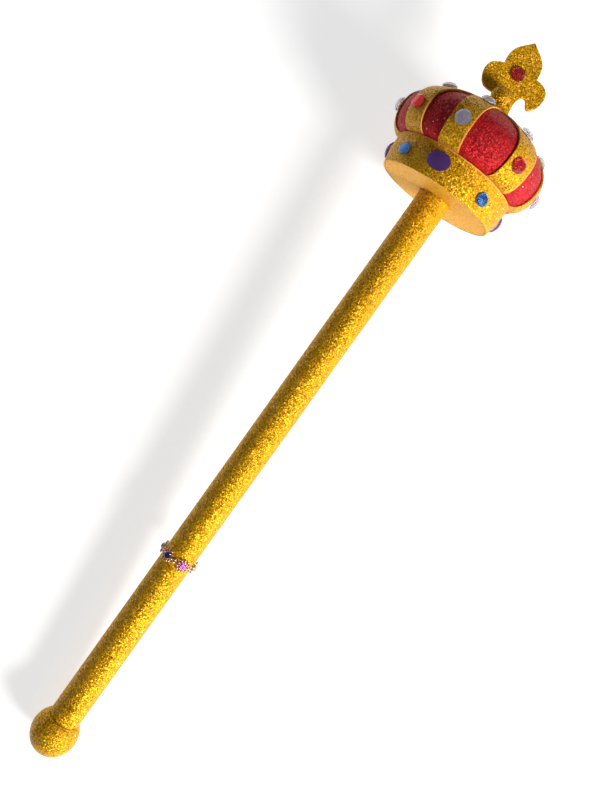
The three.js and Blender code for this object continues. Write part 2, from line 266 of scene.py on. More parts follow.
def stuck_on(points, origin, directions):
    """Points given as (across, along, outwards), moved to an origin and three directions."""
    return origin + points @ np.stack(directions)


def dome(u, inset=0.0):
    """Radius and station of the crown's dome, moved in by the inset. u runs from 0 at the foot
    over 1 at the girth to 2 at the apex, two quarters of an ellipse whose sine and cosine are
    raised to powers of their own. The inset is level up to the girth, and square to the surface
    above it."""
    def outline(at):
        low, high = (np.clip(at - k, 0, 1) * np.pi / 2 for k in (0, 1))
        fall = np.maximum(np.cos(high), 0)
        swell = (GIRTH_R - DOME_FOOT_R) * np.sin(low) ** DOME_SKIRT_POWER
        radius = np.where(at <= 1, DOME_FOOT_R + swell, GIRTH_R * fall ** DOME_RADIUS_POWER)
        station = np.where(at <= 1, GIRTH_STATION - GIRTH_RISE * np.cos(low),
                           GIRTH_STATION + DOME_H * np.sin(high) ** DOME_HEIGHT_POWER)
        return radius, station

    u = np.asarray(u, float)
    radius, station = outline(u)
    step = 1e-4
    upper = np.clip(u, 1 + step, 2 - step)
    (r0, s0), (r1, s1) = outline(upper), outline(upper + step)
    length = np.hypot(r1 - r0, s1 - s0)
    out_r = np.where(u <= 1, 1.0, (s1 - s0) / length)
    out_s = np.where(u <= 1, 0.0, (r0 - r1) / length)
    return np.maximum(radius - inset * out_r, 0), station - inset * out_s, (out_r, out_s)


def even_steps(start, end, spacing, inset=0.0):
    """Values of u from start to end, a spacing apart along the dome."""
    fine = np.linspace(start, end, 2000)
    radius, station, _ = dome(fine, inset)
    run = np.concatenate([[0], np.cumsum(np.hypot(np.diff(radius), np.diff(station)))])
    return np.interp(np.linspace(0, run[-1], int(run[-1] / spacing) + 1), run, fine)


def gem(size, sides=8):
    """A moulded stone: a flat table, a star of three-sided facets round it, four-sided main
    facets from the table's corners to the girdle, two facets between each two of them, an
    upright girdle and a hollow faceted back, which carries the foil."""
    width, height, thickness = size
    table_r, star_r, girdle = 0.56, 0.8, 0.3
    edge_z, base_r, back_r, back_z, back_middle = 0.08, 0.95, 0.45, 0.2, 0.27
    full = np.arange(sides) * 2 * np.pi / sides
    half = full + np.pi / sides
    star_z = 1 - (star_r * math.cos(np.pi / sides) - table_r) * (1 - girdle) / (1 - table_r)
    both = np.sort(np.concatenate([full, half]))

    def ring(angles, radius, z):
        return np.stack([radius * np.cos(angles), radius * np.sin(angles),
                         np.full(len(angles), z)], axis=-1)

    points = np.concatenate([ring(full, table_r, 1.0), ring(half, star_r, star_z),
                             ring(both, 1.0, girdle), ring(both, 1.0, edge_z),
                             ring(both, base_r, 0.0), ring(full, back_r, back_z),
                             [[0, 0, back_middle]]])
    n = sides
    faces, marks = [list(range(n))], [0]
    for i in range(n):
        j = (i + 1) % n
        table, table2 = i, j
        star, star0 = n + i, n + (i - 1) % n
        top = 2 * n + 2 * i
        top2, top3 = 2 * n + 2 * i + 1, 2 * n + (2 * i + 2) % (2 * n)
        faces += [[table, star, table2], [table, star0, top, star], [star, top, top2],
                  [star, top2, top3]]
        marks += [0] * 4
        low, low2, low3 = top + 2 * n, top2 + 2 * n, top3 + 2 * n
        faces += [[top, low, low2, top2], [top2, low2, low3, top3]]
        base, base2, base3 = low + 2 * n, low2 + 2 * n, low3 + 2 * n
        faces += [[low, base, base2, low2], [low2, base2, base3, low3]]
        marks += [0] * 4
        inner, inner2 = 8 * n + i, 8 * n + j
        faces += [[base, inner, base2], [base2, inner, inner2], [base2, inner2, base3],
                  [inner, 9 * n, inner2]]
        marks += [1] * 4
    return points * [width / 2, height / 2, thickness], faces, marks


# ------------------------------------------------------------------ materials

class Signal:
    """A socket that can be added, multiplied and compared, each sum adding its Math node."""

    def __init__(self, tree, socket):
        self.tree, self.socket = tree, socket

    def maths(self, operation, *values):
        node = self.tree.nodes.new("ShaderNodeMath")
        node.operation = operation
        for slot, value in zip(node.inputs, values):
            if isinstance(value, Signal):
                self.tree.links.new(value.socket, slot)
            else:
                slot.default_value = value
        return Signal(self.tree, node.outputs[0])

    def __add__(self, other):
        return self.maths("ADD", self, other)

    def __mul__(self, other):
        return self.maths("MULTIPLY", self, other)

    def __sub__(self, other):
        return self.maths("SUBTRACT", self, other)

    def __rsub__(self, other):
        return self.maths("SUBTRACT", other, self)

    def __gt__(self, other):
        return self.maths("GREATER_THAN", self, other)

    def __lt__(self, other):
        return self.maths("LESS_THAN", self, other)

    __radd__, __rmul__ = __add__, __mul__


class Finish:
    """A material and its shader nodes."""

    def __init__(self, name):
        self.material = bpy.data.materials.new(name)
        self.material.use_nodes = True
        self.tree = self.material.node_tree
        self.tree.nodes.clear()

    def node(self, kind, settings=None, inputs=None, output=0):
        """One node: its settings first, then its sockets, each a value or a signal."""
        made = self.tree.nodes.new("ShaderNode" + kind)
        for key, value in (settings or {}).items():
            if key == "stops":
                ramp = made.color_ramp
                while len(ramp.elements) < len(value):
                    ramp.elements.new(1.0)
                for element, (position, colour) in zip(ramp.elements, value):
                    element.position, element.color = position, colour
            else:
                setattr(made, key, value)
        for key, value in (inputs or {}).items():
            if isinstance(value, Signal):
                self.tree.links.new(value.socket, made.inputs[key])
            else:
                made.inputs[key].default_value = value
        return Signal(self.tree, made.outputs[output])

    def place(self):
        """The point on the object."""
        return self.node("TexCoord", output="Object")

    def mix(self, share, first, second):
        """Two colours, mixed by a share of the second."""
        return self.node("Mix", {"data_type": "RGBA"}, {0: share, 6: first, 7: second}, output=2)

    def vector(self, operation, *values, scale=None):
        """A vector sum of values, or a value scaled."""
        inputs = dict(enumerate(values))
        if scale is not None:
            inputs["Scale"] = scale
        return self.node("VectorMath", {"operation": operation}, inputs)

    def flakes(self, size):
        """Cells of a size, each of one random colour, and the colour's three numbers."""
        cells = self.node("TexVoronoi", {}, {"Vector": self.place(), "Scale": 1 / size},
                          output="Color")
        parts = self.node("SeparateXYZ", {}, {0: cells}).socket.node
        return cells, [Signal(self.tree, parts.outputs[k]) for k in range(3)]

    def cloud(self, size, detail=2.0):
        """Smooth noise with patches of a size, 0 to 1."""
        return self.node("TexNoise", {}, {"Vector": self.place(), "Scale": 1 / size,
                                          "Detail": detail})

    def tipped(self, cells, amount):
        """The surface's direction, tipped at random from cell to cell."""
        lean = self.vector("SUBTRACT", cells, (0.5, 0.5, 0.5))
        lean = self.vector("SCALE", lean, scale=amount)
        normal = self.node("NewGeometry", output="Normal")
        return self.vector("NORMALIZE", self.vector("ADD", normal, lean))

    def surface(self, **inputs):
        """The finished shader. An input's name is its socket's, with _ for a space."""
        sockets = {key.replace("_", " "): value for key, value in inputs.items()}
        shader = self.node("BsdfPrincipled", {}, sockets)
        output = self.tree.nodes.new("ShaderNodeOutputMaterial")
        self.tree.links.new(shader.socket, output.inputs["Surface"])
        return self.material


def tone(colour, share):
    """A colour made lighter or darker, opaque."""
    return tuple(min(1.0, c * share) for c in colour[:3]) + (1.0,)


FINE_FLAKE = 0.6                 # size of the finer flakes, as a share of the flakes'
FINE_SHARE = 0.35                # how much deep colour the finer flakes bring at most
METAL_SPREAD = 0.4               # from the dullest flake to the most metallic
GLINT_FROM, GLINT_SPLIT = 0.98, 0.3  # one flake in fifty glints, over most of its finer flakes
GLINT_SHARE, GLINT_METAL, GLINT_POLISH = 0.35, 0.4, 0.25
GLINT_COLOUR = (1.0, 0.95, 0.8, 1.0)


def glitter(name, bright, deep, dark, flake, painted_shade_share, tip, metal=0.3, rough=0.42):
    """Flakes of foil in lacquer. A flake's colour runs from dark over deep to bright by its
    first random number, and the dark end is painted shade: flakes coloured as if turned away
    from the light. Its metal grows with the third, and its lean is its own. Finer flakes over
    them add some of the deep colour, and a few flakes stand clear and glint."""
    f = Finish(name)
    cells, (shade, luck, gloss) = f.flakes(flake)
    _, (fine, split, _) = f.flakes(flake * FINE_FLAKE)
    # The first stop is painted shade: its dark colour stands for flakes turned away from the
    # light.
    stops = [(0.0, dark), (painted_shade_share, deep), (0.5 + painted_shade_share / 2, tone(bright, 0.86)),
             (1.0, bright)]
    colour = f.node("ValToRGB", {"stops": stops}, {"Fac": shade})
    colour = f.mix(fine * FINE_SHARE, colour, deep)
    glint = (luck > GLINT_FROM) * (split > GLINT_SPLIT)
    colour = f.mix(glint * GLINT_SHARE, colour, GLINT_COLOUR)
    return f.surface(Base_Color=colour, Roughness=rough - glint * GLINT_POLISH,
                     Metallic=gloss * METAL_SPREAD + glint * GLINT_METAL + metal,
                     Normal=f.tipped(cells, tip), Specular_IOR_Level=0.2)


def foam(name, colour):
    """The cut edge of foam sheet: fine pores and stray flakes."""
    f = Finish(name)
    cells, (pore, _, _) = f.flakes(0.45 * MM)
    shade = f.mix(pore * 0.45, colour, tone(colour, 0.45))
    return f.surface(Base_Color=shade, Roughness=0.75, Normal=f.tipped(cells, 0.5))


def cast_metal(name, colour):
    """Plated casting metal: bright, with a slight cloudiness and darker low spots."""
    f = Finish(name)
    cloud = f.cloud(1.2 * MM, 3.0)
    shade = f.mix(cloud * 0.6, colour, tone(colour, 0.55))
    bump = f.node("Bump", {}, {"Strength": 0.25, "Distance": 0.05 * MM,
                               "Height": f.cloud(0.5 * MM)})
    return f.surface(Base_Color=shade, Roughness=cloud * 0.2 + 0.14, Metallic=1.0, Normal=bump)


def clear_plastic(name, colour):
    """Tinted clear plastic, with faint streaks from the mould."""
    f = Finish(name)
    streak = f.cloud(2.5 * MM, 1.0)
    shade = f.mix(streak * 0.35, colour, tone(colour, 0.75))
    return f.surface(Base_Color=shade, Roughness=0.04, IOR=1.49, Transmission_Weight=1.0,
                     Specular_IOR_Level=0.6)


def foil(name, colour):
    """The silvered back of a stone."""
    f = Finish(name)
    shade = f.mix(f.cloud(1.5 * MM) * 0.5, colour, tone(colour, 0.8))
    return f.surface(Base_Color=shade, Roughness=0.22, Metallic=0.62)


def paper(name, colour):
    """The floor: a plain pale sheet with a faint tooth. It glows a little, as a lit sweep does."""
    f = Finish(name)
    shade = f.mix(f.cloud(60 * MM, 4.0) * 0.3, colour, tone(colour, 0.97))
    return f.surface(Base_Color=shade, Roughness=0.9, Emission_Color=shade,
                     Emission_Strength=1.2)


FINISHES = {}


def finish(name):
    """A finish by name, made when it is first asked for."""
    if name not in FINISHES:
        look = bpy.context.scene.sceptre_colours
        # The dark colour is painted shade. Each glitter gives it to a share of its flakes, so that
        # they look turned away from the light.
        gold, deep, dark = look.gold, look.gold_deep, look.gold_painted_shade
        makers = {
            "gold": lambda: glitter("gold_glitter", gold, deep, dark, flake=0.62 * MM,
                                    painted_shade_share=0.3, tip=1.0, metal=0.2),
            "ball_gold": lambda: glitter("ball_glitter", gold, deep, dark, flake=0.75 * MM,
                                         painted_shade_share=0.42, tip=1.2),
            "underside": lambda: glitter("underside_glitter", look.orange_gold,
                                         tone(look.orange_gold, 0.7), dark, flake=0.62 * MM,
                                         painted_shade_share=0.08, tip=0.9, metal=0.1, rough=0.5),
            # The red's darkest tone, a tenth of it, is painted shade as well.
            "red": lambda: glitter("red_glitter", look.red, tone(look.red, 0.6),
                                   tone(look.red, 0.1), flake=0.6 * MM, painted_shade_share=0.22,
                                   tip=0.9, metal=0.1, rough=0.5),
            "foam": lambda: foam("cut_edge", look.foam),
            "rose_gold": lambda: cast_metal("rose_gold", look.rose_gold),
            "foil": lambda: foil("foil", (0.9, 0.9, 0.92, 1.0)),
            "floor": lambda: paper("floor", look.floor),
        }
        for stone in ("clear", "lavender", "red", "blue", "purple", "navy", "violet",
                      "champagne"):
            makers[stone + "_stone"] = (
                lambda stone=stone: clear_plastic(stone + "_stone",
                                                  getattr(look, stone + "_stone")))
        FINISHES[name] = makers[name]()
    return FINISHES[name]


# ------------------------------------------------------------------ pieces

def piece(name, shape, finishes, nodes, smooth=False):
    """A mesh object of the sceptre from (points, faces, marks): a mark is the number of a face's
    finish. It stands for the frame's nodes."""
    points, faces, marks = shape
    mesh = bpy.data.meshes.new(name)
    mesh.from_pydata(points.tolist(), [], faces)
    for key in finishes:
        mesh.materials.append(finish(key))
    mesh.polygons.foreach_set("material_index", np.array(marks, np.int32))
    mesh.polygons.foreach_set("use_smooth", np.full(len(faces), smooth))
    mesh.update()
    obj = bpy.data.objects.new(name, mesh)
    bpy.context.scene.collection.objects.link(obj)
    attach(obj, "root")
    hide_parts(*nodes)


def make_rod(sizes):
    """The rod: circles of the rod's radius every grain along it. Each point is pushed in by a
    random part of the grain's depth and moved a little along the surface."""
    rng = np.random.default_rng(SEED)
    radius = sizes.rod_radius
    foot = math.sqrt(POMMEL_R ** 2 - RING_INNER ** 2) + GAP
    station = np.arange(foot, ROD_TOP, sizes.grain)[:, None]
    turn = np.linspace(0, 360, int(2 * np.pi * radius / sizes.grain), endpoint=False)[None, :]
    shape = (len(station), turn.size)
    jitter = sizes.grain * STRAY
    deep = radius - rng.random(shape) * sizes.grain_depth
    dents = smooth_noise(rng, station / DENT_RUN, np.radians(turn) * 2)
    deep = deep - DENT * (1 + dents) / 2
    along = station + rng.uniform(-jitter, jitter, shape)
    along[0], along[-1] = foot, ROD_TOP
    points = around(deep, turn + np.degrees(rng.uniform(-jitter, jitter, shape) / radius), along)
    piece("rod", tube(points[:, ::-1]), ["gold"], ["shaft"])


def make_pommel(sizes):
    """The pommel: a ball with grain, its points above the seat for the rod levelled to it, and
    those below the floor raised to it."""
    rng = np.random.default_rng(SEED + 1)
    unit, faces = unit_ball(int(POMMEL_R * np.pi / 2 / sizes.grain))
    radius = POMMEL_R - rng.random(len(unit)) * sizes.grain_depth
    seat = math.sqrt(POMMEL_R ** 2 - RING_INNER ** 2)
    local = unit * radius[:, None]
    local[:, 1] = np.minimum(local[:, 1], seat)
    points = place(local[:, 0], local[:, 1], local[:, 2])
    points[:, 2] = np.maximum(points[:, 2], 0)
    piece("pommel_ball", (points, faces.tolist(), [0] * len(faces)), ["gold"], ["pommel"])


def ball(radius, centre, cells=3):
    """A smooth little ball for castings."""
    unit, faces = unit_ball(cells)
    return unit * radius + centre, faces.tolist(), [0] * len(faces)


def ring_of(profile, count):
    """A closed outline of (radius, height), in millimetres, turned about the outward
    direction."""
    angle = np.linspace(0, 2 * np.pi, count, endpoint=False)[:, None]
    r, z = (np.array(profile) * MM).T
    points = np.stack([r * np.cos(angle), r * np.sin(angle), z + 0 * angle], axis=-1)
    return hoop(points)


def flower():
    """One flower of the band, as (across, along, outwards) points from its foot: a backing ring,
    a cup for the stone, beads on a circle, and four claws."""
    parts = [ring_of(BACKING, FLOWER_STEPS), ring_of(CUP, FLOWER_STEPS)]
    for angle in np.arange(BEAD_COUNT) * 2 * np.pi / BEAD_COUNT:
        out = np.array([math.cos(angle), math.sin(angle), 0])
        parts.append(ball(BEAD_R, out * BEAD_CIRCLE + [0, 0, BEAD_HEIGHT]))
    for angle in np.arange(CLAW_COUNT) * np.pi / 2 + np.pi / 4:
        out = np.array([math.cos(angle), math.sin(angle), 0])
        parts.append(ball(CLAW_R, out * CLAW_CIRCLE + [0, 0, CLAW_HEIGHT], 2))
    return joined(parts)


def make_ring():
    """The flower band: a thin hoop, six flowers square to the rod, and two beads joining each
    to the next."""
    rows = np.linspace(0, 360, 72, endpoint=False)[:, None]
    outline = np.array(RING_OUTLINE) * MM
    parts = [hoop(around(RING_INNER + outline[None, :, 0], -rows,
                         RING_STATION + outline[None, :, 1]))]
    points, faces, marks = flower()
    for turn in RING_TURNS:
        origin = around(RING_INNER, turn, RING_STATION)
        parts.append((stuck_on(points, origin, facing(turn)), faces, marks))
        for along in (-LINK_SIDE, LINK_SIDE):
            centre = around(RING_INNER + LINK_HEIGHT, turn + LINK_TURN, RING_STATION + along)
            parts.append(ball(LINK_R, centre))
    piece("flower_band", joined(parts), ["rose_gold"], ["ring_setting"], smooth=True)
    for number, (turn, colour) in enumerate(zip(RING_TURNS, RING_COLOURS), 1):
        add_stone(f"ring_stone_{number}", f"ring_gem_{number}", STONES["ring"], colour, turn,
                  RING_INNER + FLOWER_T, RING_STATION)


def add_stone(name, node, size, colour, turn, radius, station, normal=(1.0, 0.0)):
    """A stone stuck on the sceptre, square to the surface there."""
    points, faces, marks = gem(size)
    lift = GAP * np.array(normal)
    origin = around(radius + lift[0], turn, station + lift[1])
    shape = (stuck_on(points, origin, facing(turn, normal)), faces, marks)
    piece(name, shape, [colour + "_stone", "foil"], [node])


def make_underside(sizes):
    """The disc under the crown: a flat ring of sheet, grained on its open face."""
    rng = np.random.default_rng(SEED + 2)
    hole, rim = ROD_R + GAP, BAND_RADII[0] - SHEET - GAP
    steps = int((rim - hole) / sizes.grain)
    radius = np.concatenate([np.linspace(hole, rim, steps), np.linspace(rim, hole, 4)])
    station = CROWN_FOOT + np.concatenate([np.zeros(steps), np.full(4, SHEET)])
    turn = np.linspace(0, 360, int(2 * np.pi * rim / sizes.grain), endpoint=False)[:, None]
    open_face = (np.arange(len(radius)) < steps)[None, :]
    deep = station + open_face * rng.random((len(turn), len(radius))) * sizes.grain_depth
    points = around(radius[None, :], turn, deep)
    piece("underside_disc", hoop(points), ["underside"], ["crown_underside"])


def band_radius(share):
    """Outer radius of the band at a share of its height."""
    return np.interp(share, BAND_SHARES, BAND_RADII)


def make_band(sizes):
    """The band: an outline of sheet, grained outside and plain inside, carried round the crown.
    Its cut edges wander a little, and its ends meet in a fine seam at the back."""
    rng = np.random.default_rng(SEED + 3)
    steps = int(BAND_H / sizes.grain)
    edge = ARRIS
    share = np.concatenate([np.linspace(edge / BAND_H, 1 - edge / BAND_H, steps), [1, 1, 1],
                            np.linspace(1, 0, 5)[1:-1], [0, 0, 0]])
    inset = np.concatenate([np.zeros(steps), [edge, SHEET / 2, SHEET], np.full(3, SHEET),
                            [SHEET, SHEET / 2, edge]])
    marks = np.concatenate([np.zeros(steps - 1), np.ones(4), np.zeros(2), np.ones(4)])
    turn = np.linspace(0, 360, int(2 * np.pi * BAND_RADII[2] / sizes.grain),
                       endpoint=False)[:, None]
    outside = (np.arange(len(share)) < steps)[None, :]
    grain = outside * rng.random((len(turn), len(share))) * sizes.grain_depth
    seam = SEAM_DEPTH * (np.abs(turn - SEAM_TURN) < SEAM_HALF_WIDTH)
    wander = BAND_WANDER * smooth_noise(rng, np.radians(turn) * 5, 0 * share)
    station = CROWN_FOOT + share * BAND_H + wander * (share - 0.5) * 2 * (share != 0)
    station = np.clip(station, CROWN_FOOT, CROWN_FOOT + BAND_H)
    points = around(band_radius(share) - inset - grain - seam * outside, turn, station)
    piece("band_sheet", hoop(points[:, ::-1], marks[None, ::-1]), ["gold", "foam"],
          ["crown_band"])


def make_cap(sizes):
    """The red dome under the strips: the dome's outline a sheet's thickness in, on a plain drum
    that fills the band."""
    rng = np.random.default_rng(SEED + 4)
    grain = sizes.grain * CAP_GRAIN
    inset = SHEET + GAP
    u = even_steps(STRIP_START, CAP_END, grain, inset)[:, None]
    turn = np.linspace(0, 360, int(2 * np.pi * GIRTH_R / grain), endpoint=False)[None, :]
    jitter = np.degrees(grain * STRAY / GIRTH_R)
    turn = turn + rng.uniform(-jitter, jitter, (len(u), turn.size))
    depth = rng.random(turn.shape) * sizes.grain_depth * CAP_DEPTH
    radius, station, _ = dome(u, inset + depth)
    drum_r = BAND_RADII[0] - SHEET - GAP
    drum = [around(drum_r, turn[:1], np.full_like(turn[:1], s))
            for s in (CROWN_FOOT + SHEET + GAP, station[0].min())]
    points = np.concatenate([*drum, around(radius, turn, station)])
    piece("red_cap", tube(points[:, ::-1]), ["red"], ["crown_cap"])


def mitre(edge, neighbour_edge, apart):
    """The angle from a strip's direction to where its edge meets the neighbour's."""
    apart = math.radians(apart % 360)
    return math.atan2(edge * math.sin(apart), edge * math.cos(apart) + neighbour_edge)


def strip_shape(sizes, index):
    """One strip of sheet over the dome. Along it runs the dome's outline. Across it the edges are
    straight: an edge x to the side lies at the turn whose sine is x over the radius, or on the
    mitre to the neighbour where that comes first. The closed outline across it has the grained
    face, rounded arrises, cut edges and a plain back."""
    rng = np.random.default_rng(SEED + 10 + index)
    turn, left, right = STRIPS[index]
    turn_before, _, right_before = STRIPS[index - 1]
    turn_after, left_after, _ = STRIPS[(index + 1) % len(STRIPS)]
    before = mitre(left, right_before, turn - turn_before)
    after = mitre(right, left_after, turn_after - turn)
    cut = GAP / 2
    tip = cut / math.sin(min(before, after)) + STRIP_TIP_R
    end = 1 + math.acos((tip / GIRTH_R) ** (1 / DOME_RADIUS_POWER)) * 2 / math.pi
    u = even_steps(STRIP_START, end, sizes.grain)[:, None]

    steps = int((left + right) * MM / sizes.grain)
    arris = ARRIS
    side = np.concatenate([np.linspace(-1, 1, steps), [1, 1, 1], [0.4, -0.4], [-1, -1, -1]])
    shrink = np.concatenate([np.full(steps, arris), [0, 0, arris], [0, 0], [arris, 0, 0]])
    sheet = sizes.sheet_thickness
    inset = np.concatenate([np.zeros(steps), [arris, sheet / 2, sheet], [sheet, sheet],
                            [sheet, sheet / 2, arris]])
    marks = np.concatenate([np.zeros(steps - 1), np.ones(3), np.zeros(3), np.ones(3)])

    outside = (np.arange(len(side)) < steps)[None, :]
    grain = outside * rng.random((len(u), len(side))) * sizes.grain_depth
    jitter = rng.uniform(-STRAY, STRAY, (len(u), len(side))) * outside * (np.abs(side) < 1)
    along = u + 0 * side[None, :]
    along[1:-1] += jitter[1:-1] * np.gradient(u[:, 0])[1:-1, None]
    radius, station, _ = dome(along, inset[None, :] + grain)
    edge_radius = np.maximum(dome(u, inset[None, :])[0], 0.4 * tip)

    def edge_turn(width, limit, phase):
        wander = STRIP_WANDER * (1 + smooth_noise(rng, u * STRIP_WAVES + phase)) / 2
        straight = np.arcsin(np.clip((width * MM - shrink - wander) / edge_radius, 0, 1))
        mitred = limit - np.arcsin(np.clip((cut + shrink) / edge_radius, 0, 0.5))
        return np.minimum(straight, mitred)

    low, high = edge_turn(left, before, 0), edge_turn(right, after, 40)
    across = (high - low) / 2 + side * (high + low) / 2
    return tube(around(radius, turn + np.degrees(across), station)[:, ::-1], marks[None, ::-1])


def make_strips(sizes):
    """The strips over the dome, gold outside and foam at the cut edges."""
    for index in range(len(STRIPS)):
        piece(f"strip_{index + 1}", strip_shape(sizes, index), ["gold", "foam"],
              [f"arch_{index + 1}"])


def make_crown_stones():
    """Every strip carries a coloured stone at the girth and a clear one on the shoulder, and the
    band a stone below it: round and blue under red, oval and purple under lavender."""
    band_r = float(np.interp(0.1, [0, 1], BAND_RADII[1:]))
    for index in range(len(STRIPS)):
        red = index % 2 == 1
        n = index + 1
        place_on, turn = GIRTH_STONES[index]
        radius, station, _ = dome(place_on)
        add_stone(f"strip_stone_{n}", f"arch_gem_{n}", STONES["strip"],
                  "red" if red else "lavender", turn, float(radius), float(station))
        place_on, turn = SHOULDER_STONES[index]
        radius, station, out = dome(place_on)
        add_stone(f"shoulder_stone_{n}", f"shoulder_gem_{n}", STONES["shoulder"], "clear", turn,
                  float(radius), float(station), tuple(float(v) for v in out))
        add_stone(f"band_stone_{n}", f"band_gem_{n}", STONES["round" if red else "oval"],
                  "blue" if red else "purple", BAND_STONE_TURNS[index], band_r,
                  ROUND_STATION if red else OVAL_STATION)


def bezier(a, b, c, d, count):
    """Points of a cubic curve from a to d, without the first."""
    t = np.linspace(0, 1, count + 1)[1:, None]
    a, b, c, d = (np.array(p, float) for p in (a, b, c, d))
    return ((1 - t) ** 3 * a + 3 * (1 - t) ** 2 * t * b + 3 * (1 - t) * t ** 2 * c + t ** 3 * d)


def fleur_half(side, hook, curl, gap_top):
    """Half the outline of the plate, from the foot of the stem to its tip, in millimetres: the
    hook under the side lobe, the lobe, the notch and the pointed top lobe. The lobe curls back to
    hook from the middle line and down to curl, and gap_top is the top of the gap it leaves."""
    stem = STEM_W / 2 / MM
    gap = (stem + hook) / 2
    foot = -stem * side * math.tan(math.radians(PLATE_LEAN))
    curves = [
        ((stem, foot), (stem, 3), (stem, 6), (stem, 8.6)),
        ((stem, 8.6), (stem + 0.6, 13), (gap - 1.8, gap_top), (gap, gap_top)),
        ((gap, gap_top), (gap + 2.4, gap_top), (hook - 2.2, curl + 3.6), (hook - 0.8, curl + 1.5)),
        ((hook - 0.8, curl + 1.5), (hook + 0.4, curl), (hook + 2.2, curl), (18.6, curl + 1.5)),
        ((18.6, curl + 1.5), (22.1, curl + 3.6), (23.9, 17.6), (23.9, 22.1)),
        ((23.9, 22.1), (23.9, 27.9), (19.3, 30.8), (13.1, 31.5)),
        ((13.1, 31.5), (13.6, 38.3), (12.2, 42.7), (8.9, 45.7)),
        ((8.9, 45.7), (6.3, 48.1), (2.7, 50.4), (0.4, 52.7)),
    ]
    points = np.concatenate([bezier(*curve, CURVE_STEPS) for curve in curves])
    return points * [side, 1]


def on_plate(x, y, z):
    """Points given on the plate, leaned with it and moved to its place on the crown."""
    lean = math.radians(PLATE_LEAN)
    across = x * math.cos(lean) - y * math.sin(lean) + PLATE_SIDE
    along = x * math.sin(lean) + y * math.cos(lean)
    return stuck_on(np.stack([across, along, z], axis=-1), POMMEL_CENTRE + PLATE_FOOT * ALONG,
                    facing(PLATE_TURN))


def make_fleur():
    """The cut-out plate: its outline carried through the thickness, drawn in at both faces by a
    small round, along the way square to the outline."""
    rng = np.random.default_rng(SEED + 30)
    slope = math.tan(math.radians(PLATE_LEAN))
    foot = [(s * STEM_W / 2 / MM, -s * STEM_W / 2 / MM * slope) for s in (1, -1)]
    outline = np.concatenate([[foot[0]], fleur_half(1, 15.4, 9.7, 16.1),
                              fleur_half(-1, 11, 9.8, 14.8)[::-1], [foot[1]]])
    run = np.roll(outline, -1, axis=0) - np.roll(outline, 1, axis=0)
    inward = np.stack([-run[:, 1], run[:, 0]], axis=1)
    inward /= np.linalg.norm(inward, axis=1)[:, None]
    height, drawn_in = np.array(PLATE_EDGE).T
    ragged = rng.random((len(PLATE_EDGE), len(outline), 1)) * PLATE_RAGGED
    draw = drawn_in[:, None, None] + ragged
    flat = (outline[None] + inward[None] * draw) * MM
    x, y = flat[..., 0], flat[..., 1]
    points, faces, marks = tube(on_plate(x, y, height[:, None] * PLATE_T + 0 * x))
    marks = [1] * (len(marks) - 2) + [0, 0]
    piece("fleur_plate", (points, faces, marks), ["gold", "foam"], ["fleur_de_lis"])

    local, faces, marks = gem(STONES["fleur"])
    x, y, z = (local + [*FLEUR_STONE, PLATE_T / 2 + GAP]).T
    piece("fleur_stone", (on_plate(x, y, z), faces, marks), ["red_stone", "foil"],
          ["fleur_gem"])


def make_finial(sizes):
    """The small ball before the plate, with a coarser grain."""
    rng = np.random.default_rng(SEED + 31)
    unit, faces = unit_ball(int(FINIAL_R * np.pi / 2 / sizes.grain))
    radius = FINIAL_R - rng.random(len(unit)) * sizes.grain_depth * FINIAL_DEPTH
    local = unit * radius[:, None]
    points = place(local[:, 0] + FINIAL_SIDE, local[:, 1] + FINIAL_STATION,
                   local[:, 2] + FINIAL_FRONT)
    piece("finial_bead", (points, faces.tolist(), [0] * len(faces)), ["ball_gold"],
          ["finial_ball"])


# ------------------------------------------------------------------ stage

def lamp(name, location, target, size, power, colour):
    """A soft oblong lamp that looks at a point."""
    data = bpy.data.lights.new(name, "AREA")
    data.shape, data.size, data.size_y = "RECTANGLE", size[0], size[1]
    data.energy, data.color = power, colour
    obj = bpy.data.objects.new(name, data)
    obj.location = location
    away = np.array(location, float) - np.array(target, float)
    away /= np.linalg.norm(away)
    obj.rotation_euler = (math.acos(away[2]), 0, math.atan2(away[0], -away[1]))
    bpy.context.scene.collection.objects.link(obj)


def make_stage():
    """The floor, the lamp, the room's faint light and the camera, which looks straight down."""
    scene = bpy.context.scene
    reach = FLOOR_REACH
    mesh = bpy.data.meshes.new("floor")
    mesh.from_pydata([(-reach, -reach, 0), (reach, -reach, 0), (reach, reach, 0),
                      (-reach, reach, 0)], [], [(0, 1, 2, 3)])
    mesh.materials.append(finish("floor"))
    floor = bpy.data.objects.new("floor", mesh)
    scene.collection.objects.link(floor)

    lamp("key_lamp", LAMP_PLACE, LAMP_TARGET, LAMP_SIZE, LAMP_POWER, LAMP_COLOUR)

    world = bpy.data.worlds.new("room")
    scene.world = world
    world.use_nodes = True
    background = world.node_tree.nodes["Background"].inputs
    background["Color"].default_value = ROOM_COLOUR
    background["Strength"].default_value = ROOM_STRENGTH
    scene.view_settings.view_transform = "Standard"

    camera = bpy.data.cameras.new("camera")
    camera.sensor_fit, camera.sensor_height = "VERTICAL", SENSOR_H
    camera.lens, camera.clip_start = LENS, NEAREST
    eye = bpy.data.objects.new("camera", camera)
    eye.location = (POMMEL_CENTRE[0] + EYE_ALONG, EYE_SIDE, EYE_HEIGHT)
    eye.rotation_euler = (0, 0, math.radians(EYE_TURN))
    scene.collection.objects.link(eye)
    scene.camera = eye


# ------------------------------------------------------------------ add-on

def colour_property(name, description, colour):
    """A colour setting; its starting colour is opaque."""
    return bpy.props.FloatVectorProperty(name=name, description=description, subtype="COLOR",
                                         size=4, min=0, max=1, default=(*colour, 1.0))


